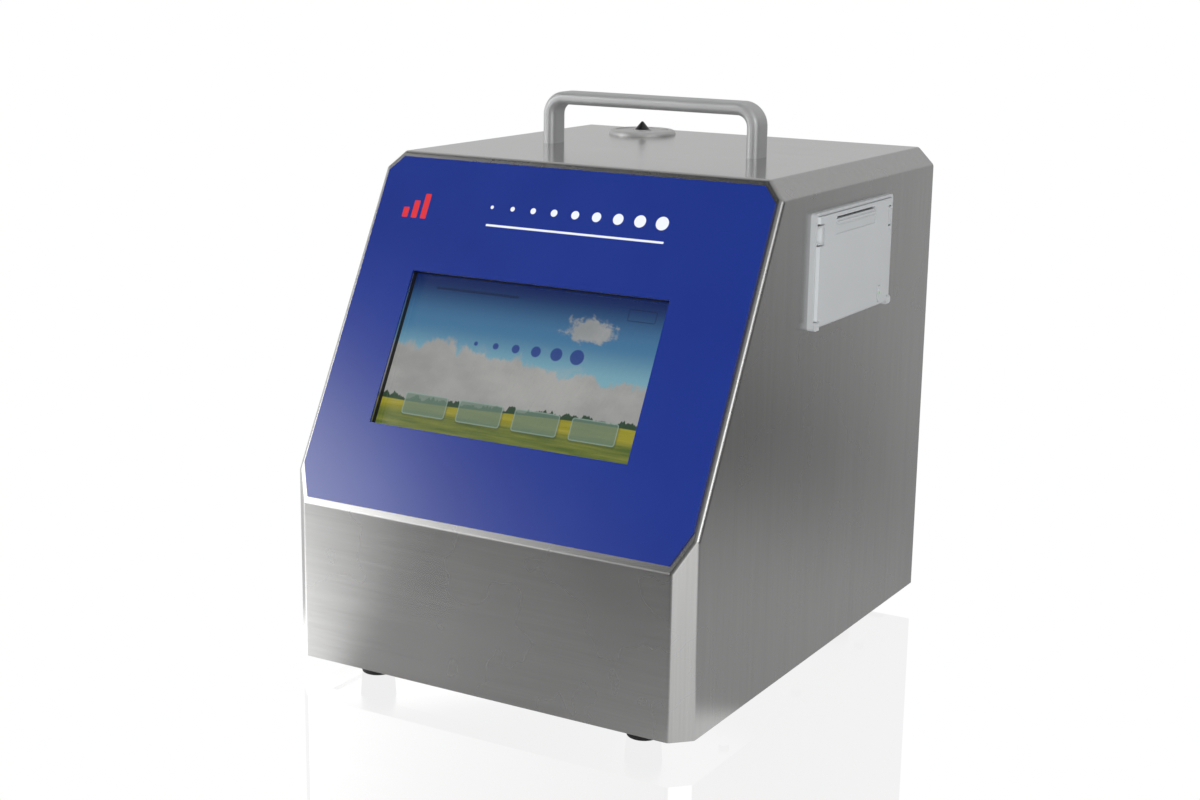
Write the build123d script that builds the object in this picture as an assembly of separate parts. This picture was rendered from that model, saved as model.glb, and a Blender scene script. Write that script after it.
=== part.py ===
from build123d import *
import math
import os

# Airborne particle counter: a bench instrument in a folded steel case, in millimetres.
# +Z is up, -Y is the front with the sloped screen panel, +X is the side with the printer.
# The origin is the middle of the case's footprint, on the floor.

# ---- fits ----
slip = 0.1            # screws and tubes in their holes
run = 0.05            # radial clearance of a turning or sliding fit
seat = 0.3            # gap between a panel's edge and what surrounds it

# ---- case ----
case_width = 250.0
case_depth = 305.0
case_height = 274.0
lip_height = 89.0     # upright part of the front
slope_setback = 98.0  # how far back the slope's top edge stands
corner_cut = 10.0     # flat along the upright front edges and the top side edges
edge_round = 2.8
sheet = 1.5
flange = 14.0         # width of the edges folded inwards at the bottom and the rear
base_sheet = 2.0

# ---- feet ----
foot_height = 12.0    # below the case
foot_radius = 10.0
foot_side_inset = 39.0
foot_front_inset = 28.0
foot_screw_radius = 2.0
foot_screw_head = 4.0

# ---- front panel ----
overlay_inset = 3.7   # from the edges of the slope
overlay_sheet = 1.0
window_width = 162.0
window_height = 88.5
window_x = -5.0
window_low = 50.5     # from the slope's bottom edge, along the slope
gasket_thickness = 3.0
gasket_width = 6.0
glass_thickness = 1.5
lcd_thickness = 6.0
bracket_sheet = 1.5
display_post_radius = 3.5
display_post_spread = 60.0
display_stud_radius = 1.5
board_thickness = 1.6
display_board_width = 120.0
display_board_height = 80.0
display_boss = 4.0
display_chip = 18.0
display_driver = 12.0
display_driver_length = 20.0
display_plug_length = 40.0

# ---- handle ----
handle_width = 142.0
handle_rise = 31.0
handle_thickness = 7.5
handle_depth = 16.0
handle_bend = 14.0
handle_x = -5.0
handle_setback = 92.0  # behind the slope's top edge
handle_edge = 3.2
handle_screw_radius = 2.4
handle_screw_length = 14.0

# ---- sampling inlet ----
inlet_from_side = 68.5
inlet_from_rear = 34.5
inlet_radius = 21.0
inlet_rise = 2.8
inlet_edge = 2.2
inlet_dish = 0.6
inlet_shank_radius = 9.0
inlet_nipple_radius = 6.0
inlet_nipple_length = 14.0
inlet_bore = 4.0
seal_thickness = 1.5
nut_thickness = 5.0
nut_flats = 27.0
plug_radius = 4.8
plug_cone = 5.0
plug_stem = 9.0

# ---- optical sensor ----
sensor_width = 60.0
sensor_depth = 44.0
sensor_height = 40.0
sensor_floor = 88.0   # above the base plate
sensor_nipple = 8.0
hose_wall = 2.0
beam_bore = 4.0
laser_radius = 8.0
laser_length = 42.0
dump_length = 14.0
detector_bore = 7.0
detector_can = 5.0
detector_board_inset = 5.0
flow_sensor_size = 26.0
flow_plug_depth = 4.0
flow_plug_width = 16.0
flow_plug_up = 4.0
flow_plug_top = 14.0
flow_sensor_height = 24.0
outlet_gap = 8.0

# ---- pump ----
pump_radius = 27.0
pump_height = 28.0
pump_wall = 3.0
pump_port_radius = 5.0
motor_radius = 16.0
motor_height = 22.0
impeller_radius = 21.0
impeller_blades = 7
impeller_shaft = 1.5

# ---- exhaust ----
filter_radius = 15.0
filter_length = 36.0
filter_port = 10.0
exhaust_bend = 14.0
spigot_radius = 5.0
spigot_length = 16.0
spigot_flange = 10.0
spigot_flange_sheet = 2.0
spigot_tail = 14.0    # inside the rear panel
exhaust_bore = 3.5

# ---- boards and supply ----
main_board_width = 130.0
main_board_depth = 90.0
main_board_from_side = 16.5
main_board_from_front = 29.5
chip_size = 20.0
chip_height = 2.0
plug_row_length = 30.0
plug_row_height = 8.0
capacitor_radius = 4.0
capacitor_height = 12.0
board_post_height = 8.0
board_post_radius = 3.0
supply_width = 52.0
supply_depth = 110.0
supply_height = 34.0
supply_from_side = 13.5
supply_from_rear = 71.5
supply_vents = 7
supply_vent_margin = 15.0
supply_vent_width = 4.0

# ---- mains inlet module, on the rear ----
mains_from_side = 43.0
mains_up = 86.0       # above the case's bottom
mains_width = 50.0
mains_height = 62.0
mains_flange = 3.0
mains_depth = 30.0
socket_width = 24.0
socket_height = 16.0
socket_depth = 16.0
pin_width = 2.0
pin_height = 4.0
rocker_width = 22.0
rocker_height = 14.0
rocker_throw = 7.0     # tilt either way from level, in degrees
rocker_pivot = 1.2
rocker_stub = 1.5
drawer_width = 24.0
drawer_height = 8.0
drawer_depth = 20.0

# ---- data sockets, on the rear ----
usb_x = 22.0
usb_width = 14.5
usb_height = 7.2
serial_x = -8.0
serial_width = 31.0
serial_height = 12.5
data_up = 98.0        # above the case's bottom
data_depth = 14.0

# ---- fan, on the rear ----
fan_x = 20.0
fan_down = 81.0       # below the case's top
fan_size = 60.0
fan_depth = 15.0
fan_duct = 28.0
fan_hub = 12.0
fan_blades = 7
fan_blade_tilt = 35.0
fan_blade_thickness = 1.2
fan_blade_chord = 13.0
fan_blade_root = 0.5  # sunk in the hub
fan_shaft = 1.5
fan_hole_pitch = 50.0
guard_sheet = 1.2
guard_wire = 1.6

# ---- printer, on the right side ----
printer_from_rear = 123.5
printer_down = 51.5   # below the case's top
printer_width = 107.0
printer_height = 63.0
rim_rise = 2.9        # outer rim above the case's side
rim_side = 2.0
rim_top = 1.6
floor_rise = 1.5      # inside the rim, behind the door
bay_width = 96.0
bay_height = 52.0
bay_depth = 46.0
bay_wall = 1.6
bay_lift = 1.7        # bay's middle above the frame's middle
door_rise = 4.2
door_bevel = 1.8
pivot_rise = 2.4
pivot_up = 2.8        # above the frame's lower edge
door_pin_radius = 0.8
door_pin_length = 8.0
lug_width = 6.6
slot_y = -2.0
slot_width = 53.0
slot_gap = 1.3
slot_down = 2.6       # below the door's top edge
roller_down = 5.0     # roller's axis below the slot
slot_recess = 0.5
tear_height = 3.0
tear_teeth = 26
roller_radius = 3.5
roller_shaft = 1.5
roller_depth = 6.0    # behind the case's side
ear_thickness = 2.0
tab_height = 10.0
tab_gap = 1.0
tab_low = 14.8        # above the frame's middle
tab_in = 8.0          # inner edge of a tab, from the frame's outer edge
tab_scoop = 3.2
tab_scoop_out = 1.5   # the scoop's axis, outside the tab's face
tab_rim = 1.0
tab_rise = 4.0
latch_bar = 2.0       # the bar's diameter
latch_arm_up = 3.0
latch_hook_reach = 6.0
latch_hook_down = 1.5
latch_hook_up = 1.0
latch_lug = 2.0
latch_lug_reach = 34.0
button_y = 35.0
button_z = -23.5
button_width = 4.4
button_height = 9.0
button_travel = 1.0
button_proud = 0.6
lens_radius = 0.9
lens_depth = 1.2
lens_up = 0.5         # above the button's middle
paper_width = 44.0
paper_radius = 14.0
paper_core = 5.0
head_depth = 9.0
head_plug_depth = 6.0
head_plug_width = 20.0
head_plug_in = 4.0
head_height = 15.0
collar_grow = 0.7
collar_depth = 0.5

# ---- fasteners ----
panel_screw_radius = 1.5
panel_screw_head = 2.9
panel_screw_length = 6.0
screw_head_height = 2.0

# ---- places worked out from the sizes above ----
half_width = case_width / 2
front_y = -case_depth / 2
rear_y = case_depth / 2
case_floor = foot_height
case_top = foot_height + case_height
plate_floor = case_floor + sheet
plate_top = plate_floor + base_sheet
inner_top = case_top - sheet
side_inner = half_width - sheet
panel_inner = rear_y - sheet
rise = case_height - lip_height
slope_length = math.hypot(slope_setback, rise)
slope = Plane(
    origin=(0, front_y, case_floor + lip_height),
    x_dir=(1, 0, 0),
    z_dir=(0, -rise / slope_length, slope_setback / slope_length),
)
slope_place = slope.location
window_y = window_low + window_height / 2
handle_y = front_y + slope_setback + handle_setback
inlet_x = -half_width + inlet_from_side
inlet_y = rear_y - inlet_from_rear
main_board_x = -side_inner + main_board_from_side + main_board_width / 2
main_board_y = front_y + main_board_from_front + main_board_depth / 2
supply_x = side_inner - supply_from_side - supply_width / 2
supply_y = rear_y - supply_from_rear - supply_depth / 2
mains_x = half_width - mains_from_side
mains_z = case_floor + mains_up
data_z = case_floor + data_up
fan_z = case_top - fan_down
printer_y = rear_y - printer_from_rear
printer_z = case_top - printer_down


def block(x0, x1, y0, y1, z0, z1):
    """A box between two corners."""
    middle = Pos((x0 + x1) / 2, (y0 + y1) / 2, (z0 + z1) / 2)
    return middle * Box(x1 - x0, y1 - y0, z1 - z0)


TURNS = {"X": Rot(0, 90, 0), "Y": Rot(-90, 0, 0), "Z": Rot(0, 0, 0)}


def rod(radius, length, start, axis="Z"):
    """A cylinder that runs from a point along an axis, or back along it if the length is negative."""
    low = (Align.CENTER, Align.CENTER, Align.MIN if length > 0 else Align.MAX)
    return Pos(*start) * TURNS[axis] * Cylinder(radius, abs(length), align=low)


def tube(outer, bore, length, start, axis="Z"):
    """A rod with a hole through it."""
    return rod(outer, length, start, axis) - rod(bore, length, start, axis)


def screw(radius, head_radius, head_height, length, start, axis, along):
    """A pan-head screw: its head sits on the start point, its shank runs along the axis."""
    shank = rod(radius, along * length, start, axis)
    return shank + rod(head_radius, -along * head_height, start, axis)


def prism(points, plane, amount, both=False):
    """A flat outline given by its corners, extruded off a plane."""
    outline = make_face(Polyline(*points, close=True))
    return extrude(plane * outline, amount, both=both)


# ================= case =================

def case_form(inset, reach=0.0):
    """The case's outer form with every face drawn in, and its bottom and rear run out by a reach."""
    half = half_width - inset
    cut = corner_cut - inset * (2 - math.sqrt(2))
    front = front_y + inset
    back = rear_y + reach
    low = case_floor - reach
    top = case_top - inset
    knee_z = case_floor + lip_height - inset * (slope_length - rise) / slope_setback
    knee_y = front_y + slope_setback + inset * (slope_length - slope_setback) / rise
    side = [(front, low), (front, knee_z), (knee_y, top), (back, top), (back, low)]
    plan = [(-half, back), (-half, front + cut), (-half + cut, front),
            (half - cut, front), (half, front + cut), (half, back)]
    view = [(-half, low), (-half, top - cut), (-half + cut, top),
            (half - cut, top), (half, top - cut), (half, low)]
    body = prism(side, Plane.YZ, half, both=True)
    body &= Pos(0, 0, low) * prism(plan, Plane.XY, top - low)
    return body & prism(view, Plane.XZ, case_depth + reach, both=True)


def bent_edges(body):
    """Every edge of the case's form but those round its open bottom and rear."""
    return [edge for edge in body.edges()
            if edge.center().Z > case_floor + 0.1 and edge.center().Y < rear_y - 0.1]


def base_screw_places():
    """Screws through the bottom flanges."""
    side = side_inner - flange / 2
    rows = (front_y + case_depth * 0.2, 0, rear_y - case_depth * 0.2)
    return [(x, y) for x in (-side, side) for y in rows]


def panel_screw_places():
    """Screws through the rear flanges, as x and z."""
    side = side_inner - flange / 2
    rows = (case_floor + 3 * flange, case_floor + case_height / 2, case_top - 2 * flange)
    top = inner_top - flange / 2
    return [(x, z) for x in (-side, side) for z in rows] + [(x, top) for x in (-side / 2, side / 2)]


def handle_screw_places():
    reach = (handle_width - handle_thickness) / 2
    return [(handle_x - reach, handle_y), (handle_x + reach, handle_y)]


def window_cutter(grow, low, high):
    """A straight-sided tool for the screen window, from one depth to another along the slope's normal."""
    middle = Pos(window_x, window_y, (low + high) / 2)
    return slope_place * middle * Box(window_width + 2 * grow, window_height + 2 * grow, high - low)


def display_post_places():
    reach = window_width / 2 + gasket_width + 2 * display_post_radius
    spread = display_post_spread / 2
    return [(window_x + x, window_y + y) for x in (-reach, reach) for y in (-spread, spread)]


def housing_shell():
    body = fillet(bent_edges(case_form(0)), edge_round)
    body -= case_form(sheet, reach=5 * sheet)
    hollow = case_form(sheet)
    reach = side_inner - flange
    inner_front = front_y + sheet + flange
    bottom = hollow & block(-half_width, half_width, front_y, panel_inner, case_floor, plate_floor)
    bottom -= block(-reach, reach, inner_front, rear_y, case_floor, plate_floor)
    rear = hollow & block(-half_width, half_width, panel_inner - sheet, panel_inner, plate_floor, case_top)
    rear -= block(-reach, reach, 0, rear_y, plate_floor, inner_top - flange)
    body += bottom + rear
    body -= window_cutter(seat, -2 * sheet, sheet)
    bay_z = printer_z + bay_lift
    half_y = bay_width / 2 + bay_wall + seat
    half_z = bay_height / 2 + bay_wall + seat
    body -= block(side_inner - 1, half_width + 1, printer_y - half_y, printer_y + half_y,
                  bay_z - half_z, bay_z + half_z)
    body -= rod(inlet_shank_radius + slip, 4 * sheet, (inlet_x, inlet_y, inner_top - sheet))
    for x, y in handle_screw_places():
        body -= rod(handle_screw_radius + slip, 4 * sheet, (x, y, inner_top - sheet))
    for x, y in base_screw_places():
        body -= rod(panel_screw_radius + slip, 4 * sheet, (x, y, case_floor - sheet))
    for x, z in panel_screw_places():
        body -= rod(panel_screw_radius + slip, 4 * sheet, (x, rear_y - 3 * sheet, z), "Y")
    return body


def base_plate():
    inner = case_form(sheet + seat)
    body = inner & block(-half_width, half_width, front_y, panel_inner - sheet - seat, plate_floor, plate_top)
    for x, y in base_screw_places():
        body -= rod(panel_screw_radius + slip, 2 * base_sheet, (x, y, plate_floor - sheet))
    for x, y in foot_places().values():
        body -= rod(foot_screw_radius + slip, 2 * base_sheet, (x, y, plate_floor - sheet))
    return body


def rear_panel():
    inner = case_form(sheet + seat)
    body = inner & block(-half_width, half_width, panel_inner, rear_y, case_floor, case_top)
    tall = 3 * sheet
    start = panel_inner - sheet
    for x, z in panel_screw_places():
        body -= rod(panel_screw_radius + slip, tall, (x, start, z), "Y")
    body -= rod(fan_duct, tall, (fan_x, start, fan_z), "Y")
    for x, z in fan_hole_places():
        body -= rod(panel_screw_radius + slip, tall, (x, start, z), "Y")
    body -= rod(spigot_radius + slip, tall, (exhaust_x, start, exhaust_z), "Y")
    half_x = mains_width / 2 - mains_flange
    half_z = mains_height / 2 - mains_flange
    body -= block(mains_x - half_x, mains_x + half_x, start, rear_y + sheet,
                  mains_z - half_z, mains_z + half_z)
    body -= block(usb_x - usb_width / 2 - seat, usb_x + usb_width / 2 + seat, start, rear_y + sheet,
                  data_z - usb_height / 2 - seat, data_z + usb_height / 2 + seat)
    half_serial = serial_width * 0.32 + seat
    body -= block(serial_x - half_serial, serial_x + half_serial, start, rear_y + sheet,
                  data_z - serial_height / 2 + sheet, data_z + serial_height / 2 - sheet)
    return body


def base_screws():
    return [screw(panel_screw_radius, panel_screw_head, screw_head_height,
                  panel_screw_length, (x, y, case_floor), "Z", 1)
            for x, y in base_screw_places()]


def panel_screws():
    return [screw(panel_screw_radius, panel_screw_head, screw_head_height,
                  panel_screw_length, (x, rear_y, z), "Y", -1)
            for x, z in panel_screw_places()]


# ================= feet =================

def foot_places():
    x = half_width - foot_side_inset
    y = front_y + foot_front_inset
    return {"foot_front_left": (-x, y), "foot_front_right": (x, y),
            "foot_rear_left": (-x, -y), "foot_rear_right": (x, -y)}


def foot(x, y):
    """A tapered rubber foot with a recess for its screw head, standing under the base plate."""
    body = Pos(x, y, 0) * Cone(foot_radius - 1, foot_radius, plate_floor,
                               align=(Align.CENTER, Align.CENTER, Align.MIN))
    body = fillet(body.edges().sort_by(Axis.Z)[0], 1)
    body -= rod(foot_screw_head + 2 * slip, plate_floor / 2, (x, y, 0))
    return body - rod(foot_screw_radius + slip, plate_floor, (x, y, 0))


def foot_screws():
    length = plate_floor / 2 + base_sheet
    return [screw(foot_screw_radius, foot_screw_head, screw_head_height, length,
                  (x, y, plate_floor / 2), "Z", 1)
            for x, y in foot_places().values()]


# ================= front panel =================

def overlay_outline():
    """The slope's metal face between its corner cuts, drawn in by the overlay's inset."""
    low = corner_cut * slope_length / slope_setback
    high = corner_cut * slope_length / rise
    half = half_width
    corners = [(-half + corner_cut, 0), (half - corner_cut, 0), (half, low),
               (half, slope_length - high), (half - corner_cut, slope_length),
               (-half + corner_cut, slope_length), (-half, slope_length - high), (-half, low)]
    face = make_face(Polyline(*corners, close=True))
    return offset(face, -overlay_inset, kind=Kind.INTERSECTION)


def front_overlay():
    body = slope_place * extrude(overlay_outline(), overlay_sheet)
    return body - window_cutter(0, -overlay_sheet, 2 * overlay_sheet)


def display_gasket():
    back = -sheet - gasket_thickness
    return window_cutter(gasket_width, back, -sheet) - window_cutter(seat, back - 1, 0)


def touch_glass():
    front = -sheet - gasket_thickness
    return window_cutter(gasket_width, front - glass_thickness, front)


def lcd_depth():
    """Depth of the screen's back along the slope's normal."""
    return -sheet - gasket_thickness - glass_thickness - lcd_thickness


def lcd_panel():
    return window_cutter(gasket_width - 1, lcd_depth(), lcd_depth() + lcd_thickness)


def display_bracket():
    """A sheet plate that clamps the screen, with ears for its posts and bosses for its board."""
    back = lcd_depth() - bracket_sheet
    body = window_cutter(gasket_width, back, lcd_depth())
    ear = 2 * display_post_radius
    for x, y in display_post_places():
        inward = math.copysign(ear, window_x - x)
        middle = Pos(x + inward / 2, y, back + bracket_sheet / 2)
        body += slope_place * middle * Box(ear + 2 * ear, 2 * ear, bracket_sheet)
    for x, y in display_post_places():
        body -= slope_place * Pos(x, y, back) * Cylinder(display_stud_radius + slip, 4 * bracket_sheet)
    for x, y in board_boss_places():
        body += slope_place * Pos(x, y, back - display_boss / 2) * Cylinder(board_post_radius, display_boss)
    return body


def board_boss_places():
    reach_x = display_board_width / 2 - 2 * board_post_radius
    reach_y = display_board_height / 2 - 2 * board_post_radius
    return [(window_x + x, window_y + y) for x in (-reach_x, reach_x) for y in (-reach_y, reach_y)]


def display_posts():
    """Posts welded behind the slope, each with a threaded stud through the bracket."""
    back = lcd_depth()
    tall = -sheet - back
    posts = []
    for x, y in display_post_places():
        post = Pos(x, y, back + tall / 2) * Cylinder(display_post_radius, tall)
        stud_length = bracket_sheet + 2 * display_stud_radius + 1
        post += Pos(x, y, back - stud_length / 2) * Cylinder(display_stud_radius, stud_length)
        posts.append(slope_place * post)
    return posts


def display_nuts():
    back = lcd_depth() - bracket_sheet
    tall = 1.6 * display_stud_radius
    nut = extrude(RegularPolygon(2 * display_stud_radius, 6), tall)
    nut -= Cylinder(display_stud_radius + slip, 4 * tall)
    return [slope_place * Pos(x, y, back - tall) * nut for x, y in display_post_places()]


def display_board():
    top = lcd_depth() - bracket_sheet - display_boss
    middle = Pos(window_x, window_y, top - board_thickness / 2)
    body = Box(display_board_width, display_board_height, board_thickness)
    driver = Box(display_driver, display_driver_length, board_thickness)
    plug_row = Box(display_driver, display_plug_length, 3 * board_thickness)
    body += Pos(0, 0, -board_thickness) * Box(display_chip, display_chip, board_thickness)
    body += Pos(display_board_width / 4, 0, -board_thickness) * driver
    body += Pos(-display_board_width / 3, 0, -2 * board_thickness) * plug_row
    return slope_place * middle * body


# ================= handle =================

def bow_outline(width, tall, bend):
    """A rectangle that stands on the top sheet, with its two upper corners rounded."""
    outline = Rectangle(width, tall, align=(Align.CENTER, Align.MIN))
    return fillet(outline.vertices().sort_by(Axis.Y)[-2:], bend)


def carry_handle():
    inner_width = handle_width - 2 * handle_thickness
    outline = bow_outline(handle_width, handle_rise, handle_bend)
    outline -= bow_outline(inner_width, handle_rise - handle_thickness, handle_bend - handle_thickness)
    body = extrude(Plane.XZ * outline, handle_depth / 2, both=True)
    long_edges = [edge for edge in body.edges()
                  if abs(edge.center().Y) > handle_depth / 2 - 0.1 and edge.center().Z > 0.1]
    body = Pos(handle_x, handle_y, case_top) * fillet(long_edges, handle_edge)
    for x, y in handle_screw_places():
        body -= rod(handle_screw_radius + slip, handle_screw_length, (x, y, case_top))
    return body


def handle_screws():
    return [screw(handle_screw_radius, 1.9 * handle_screw_radius, handle_screw_radius,
                  handle_screw_length, (x, y, inner_top), "Z", 1)
            for x, y in handle_screw_places()]


# ================= sampling inlet =================

inlet_top = case_top + inlet_rise
nut_top = inner_top - seal_thickness
nut_floor = nut_top - nut_thickness
nipple_end = nut_floor - inlet_nipple_length


def inlet_flange():
    """A turned ring with a dished top, a threaded shank and a hose nipple."""
    body = rod(inlet_radius, inlet_rise, (inlet_x, inlet_y, case_top))
    body = fillet(body.edges().sort_by(Axis.Z)[-1], inlet_edge)
    body -= tube(inlet_radius - 2 * inlet_edge, plug_radius + 1, inlet_rise,
                 (inlet_x, inlet_y, inlet_top - inlet_dish))
    body += rod(inlet_shank_radius, nut_floor - case_top, (inlet_x, inlet_y, case_top))
    body += rod(inlet_nipple_radius, nipple_end - case_top, (inlet_x, inlet_y, case_top))
    return body - rod(inlet_bore, inlet_top - nipple_end, (inlet_x, inlet_y, nipple_end))


def inlet_seal():
    return tube(nut_flats / 2, inlet_shank_radius + slip, seal_thickness, (inlet_x, inlet_y, nut_top))


def inlet_nut():
    nut = extrude(RegularPolygon(nut_flats / math.sqrt(3), 6), nut_thickness)
    hole = rod(inlet_shank_radius + slip, nut_thickness, (0, 0, 0))
    return Pos(inlet_x, inlet_y, nut_floor) * (nut - hole)


def inlet_plug():
    """A black cone with a stem that fits the inlet's bore."""
    body = Pos(inlet_x, inlet_y, inlet_top) * Cone(plug_radius, 0.5, plug_cone,
                                                   align=(Align.CENTER, Align.CENTER, Align.MIN))
    return body + rod(inlet_bore - run, -plug_stem, (inlet_x, inlet_y, inlet_top))


# ================= optical sensor and air path =================

sensor_low = plate_top + sensor_floor
sensor_high = sensor_low + sensor_height
sensor_mid = (sensor_low + sensor_high) / 2
nipple_top = sensor_high + sensor_nipple
outlet_low = sensor_low - sheet - outlet_gap
flow_low = outlet_low - flow_sensor_height
pump_low = plate_top + motor_height
pump_high = pump_low + pump_height
exhaust_z = pump_low + pump_height / 2
exhaust_y = inlet_y - pump_radius + pump_wall + pump_port_radius
bracket_reach = max(sensor_width / 2, pump_radius) + 8
bracket_toe = 10.0
bracket_half_depth = inlet_y - exhaust_y - pump_port_radius - 2 * seat
filter_start = inlet_x + bracket_reach + bracket_toe + seat
filter_end = filter_start + filter_length
exhaust_x = filter_end + filter_port + 2 + exhaust_bend
hose_radius = pump_port_radius + run + hose_wall


def inlet_tube():
    """A hose from the inlet's nipple to the sensor's nipple."""
    bore = inlet_nipple_radius + run
    length = nut_floor - seat - sensor_high
    return tube(bore + hose_wall, bore, length, (inlet_x, inlet_y, sensor_high))


def sensor_block():
    """A machined block: the air runs down through it, the beam and the detector cross it."""
    half_x = sensor_width / 2
    half_y = sensor_depth / 2
    body = block(inlet_x - half_x, inlet_x + half_x, inlet_y - half_y, inlet_y + half_y,
                 sensor_low, sensor_high)
    body = chamfer(body.edges().filter_by(Axis.Z), 3)
    body += rod(inlet_nipple_radius, sensor_nipple, (inlet_x, inlet_y, sensor_high))
    body += rod(inlet_nipple_radius, -sheet - outlet_gap, (inlet_x, inlet_y, sensor_low))
    body -= rod(inlet_bore, nipple_top - outlet_low, (inlet_x, inlet_y, outlet_low))
    body -= rod(beam_bore, sensor_width, (inlet_x - half_x, inlet_y, sensor_mid), "X")
    return body - rod(detector_bore, half_y, (inlet_x, inlet_y - half_y, sensor_mid), "Y")


def laser_module():
    start = (inlet_x + sensor_width / 2, inlet_y, sensor_mid)
    body = rod(laser_radius, laser_length, start, "X")
    body += rod(1.4 * laser_radius, laser_radius / 2, start, "X")
    return body - rod(beam_bore / 2, laser_radius, start, "X")


def beam_dump():
    start = (inlet_x - sensor_width / 2, inlet_y, sensor_mid)
    body = rod(1.2 * laser_radius, -dump_length, start, "X")
    return body - rod(beam_bore, -dump_length / 2, start, "X")


def detector_board():
    """A small board on the block's face, with the light detector's can in the bore."""
    face = inlet_y - sensor_depth / 2
    half_x = sensor_width / 2 - detector_board_inset
    half_z = sensor_height / 2 - detector_board_inset / 2
    body = block(inlet_x - half_x, inlet_x + half_x, face - board_thickness, face,
                 sensor_mid - half_z, sensor_mid + half_z)
    return body + rod(detector_bore - slip, detector_can, (inlet_x, face, sensor_mid), "Y")


def sensor_bracket():
    """A folded bridge over the pump that carries the sensor."""
    y0 = inlet_y - bracket_half_depth
    y1 = inlet_y + bracket_half_depth
    top = sensor_low
    reach = bracket_reach
    body = block(inlet_x - reach, inlet_x + reach, y0, y1, top - sheet, top)
    for side in (-1, 1):
        leg = sorted((inlet_x + side * reach, inlet_x + side * (reach - sheet)))
        toe = sorted((inlet_x + side * reach, inlet_x + side * (reach + bracket_toe)))
        body += block(*leg, y0, y1, plate_top, top)
        body += block(*toe, y0, y1, plate_top, plate_top + sheet)
    return body - rod(inlet_nipple_radius + slip, 4 * sheet, (inlet_x, inlet_y, top - 2 * sheet))


def flow_sensor():
    """A block in the air line between the sensor and the pump, which its lower nipple feeds."""
    half = flow_sensor_size / 2
    body = block(inlet_x - half, inlet_x + half, inlet_y - half, inlet_y + half, flow_low, outlet_low)
    body = chamfer(body.edges().filter_by(Axis.Z), 2)
    plug = block(inlet_x - half - flow_plug_depth, inlet_x - half, inlet_y - flow_plug_width / 2,
                 inlet_y + flow_plug_width / 2, flow_low + flow_plug_up, flow_low + flow_plug_top)
    body += plug
    return body - rod(inlet_bore, flow_sensor_height, (inlet_x, inlet_y, flow_low))


def pump_housing():
    """A round blower case: an inlet nipple on top and a port tangent to the rim, towards +X."""
    body = rod(pump_radius, pump_height, (inlet_x, inlet_y, pump_low))
    body += rod(inlet_nipple_radius, flow_low - pump_high, (inlet_x, inlet_y, pump_high))
    port_length = filter_start - inlet_x
    body += rod(pump_port_radius, port_length, (inlet_x, exhaust_y, exhaust_z), "X")
    room = pump_radius - pump_wall
    body -= rod(room, pump_height - 2 * pump_wall, (inlet_x, inlet_y, pump_low + pump_wall))
    body -= rod(exhaust_bore, port_length, (inlet_x, exhaust_y, exhaust_z), "X")
    body -= rod(inlet_bore, flow_low - pump_high + pump_wall, (inlet_x, inlet_y, pump_high - pump_wall))
    return body - rod(impeller_shaft + run, pump_wall, (inlet_x, inlet_y, pump_low))


def pump_impeller():
    """A backplate with straight vanes round a hub, on a shaft down into the motor."""
    low = pump_low + pump_wall + 1
    high = pump_high - pump_wall - 1
    hub = 2.5 * impeller_shaft
    body = rod(impeller_radius, 2, (inlet_x, inlet_y, low))
    body += rod(hub, high - low, (inlet_x, inlet_y, low))
    reach = impeller_radius - hub
    for number in range(impeller_blades):
        turn = Rot(0, 0, number * 360 / impeller_blades)
        vane = Pos(hub + reach / 2 - 1, 0, 0) * Box(reach, 1.5, high - low)
        body += Pos(inlet_x, inlet_y, (low + high) / 2) * turn * vane
    return body + rod(impeller_shaft, -pump_wall - 7, (inlet_x, inlet_y, low))


def pump_motor():
    """The pump's motor, standing on the base plate under the blower case."""
    body = rod(motor_radius, motor_height, (inlet_x, inlet_y, plate_top))
    return body - rod(impeller_shaft + run, -motor_height / 2, (inlet_x, inlet_y, pump_low))


def exhaust_filter():
    """A sealed capsule between the pump's port and the exhaust hose."""
    body = rod(filter_radius, filter_length, (filter_start, exhaust_y, exhaust_z), "X")
    body = fillet(body.edges(), 4)
    return body + rod(pump_port_radius, filter_port, (filter_end, exhaust_y, exhaust_z), "X")


def exhaust_tube():
    """A hose from the filter, round one bend, to the rear spigot."""
    start = (filter_end + seat, exhaust_y, exhaust_z)
    path = FilletPolyline(start, (exhaust_x, exhaust_y, exhaust_z),
                          (exhaust_x, panel_inner - seat, exhaust_z), radius=exhaust_bend)
    ring = Circle(hose_radius) - Circle(pump_port_radius + run)
    return sweep(Plane(origin=start, z_dir=(1, 0, 0)) * ring, path)


def exhaust_spigot():
    """A flanged spigot through the rear panel, open at both ends."""
    length = spigot_tail + sheet + spigot_length
    start = (exhaust_x, panel_inner - spigot_tail, exhaust_z)
    body = rod(spigot_radius, length, start, "Y")
    body += rod(spigot_flange, spigot_flange_sheet, (exhaust_x, rear_y, exhaust_z), "Y")
    return body - rod(exhaust_bore, length, start, "Y")


# ================= boards and supply =================

def board_post_places():
    reach_x = main_board_width / 2 - 2 * board_post_radius
    reach_y = main_board_depth / 2 - 2 * board_post_radius
    return [(main_board_x + x, main_board_y + y) for x in (-reach_x, reach_x) for y in (-reach_y, reach_y)]


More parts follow.
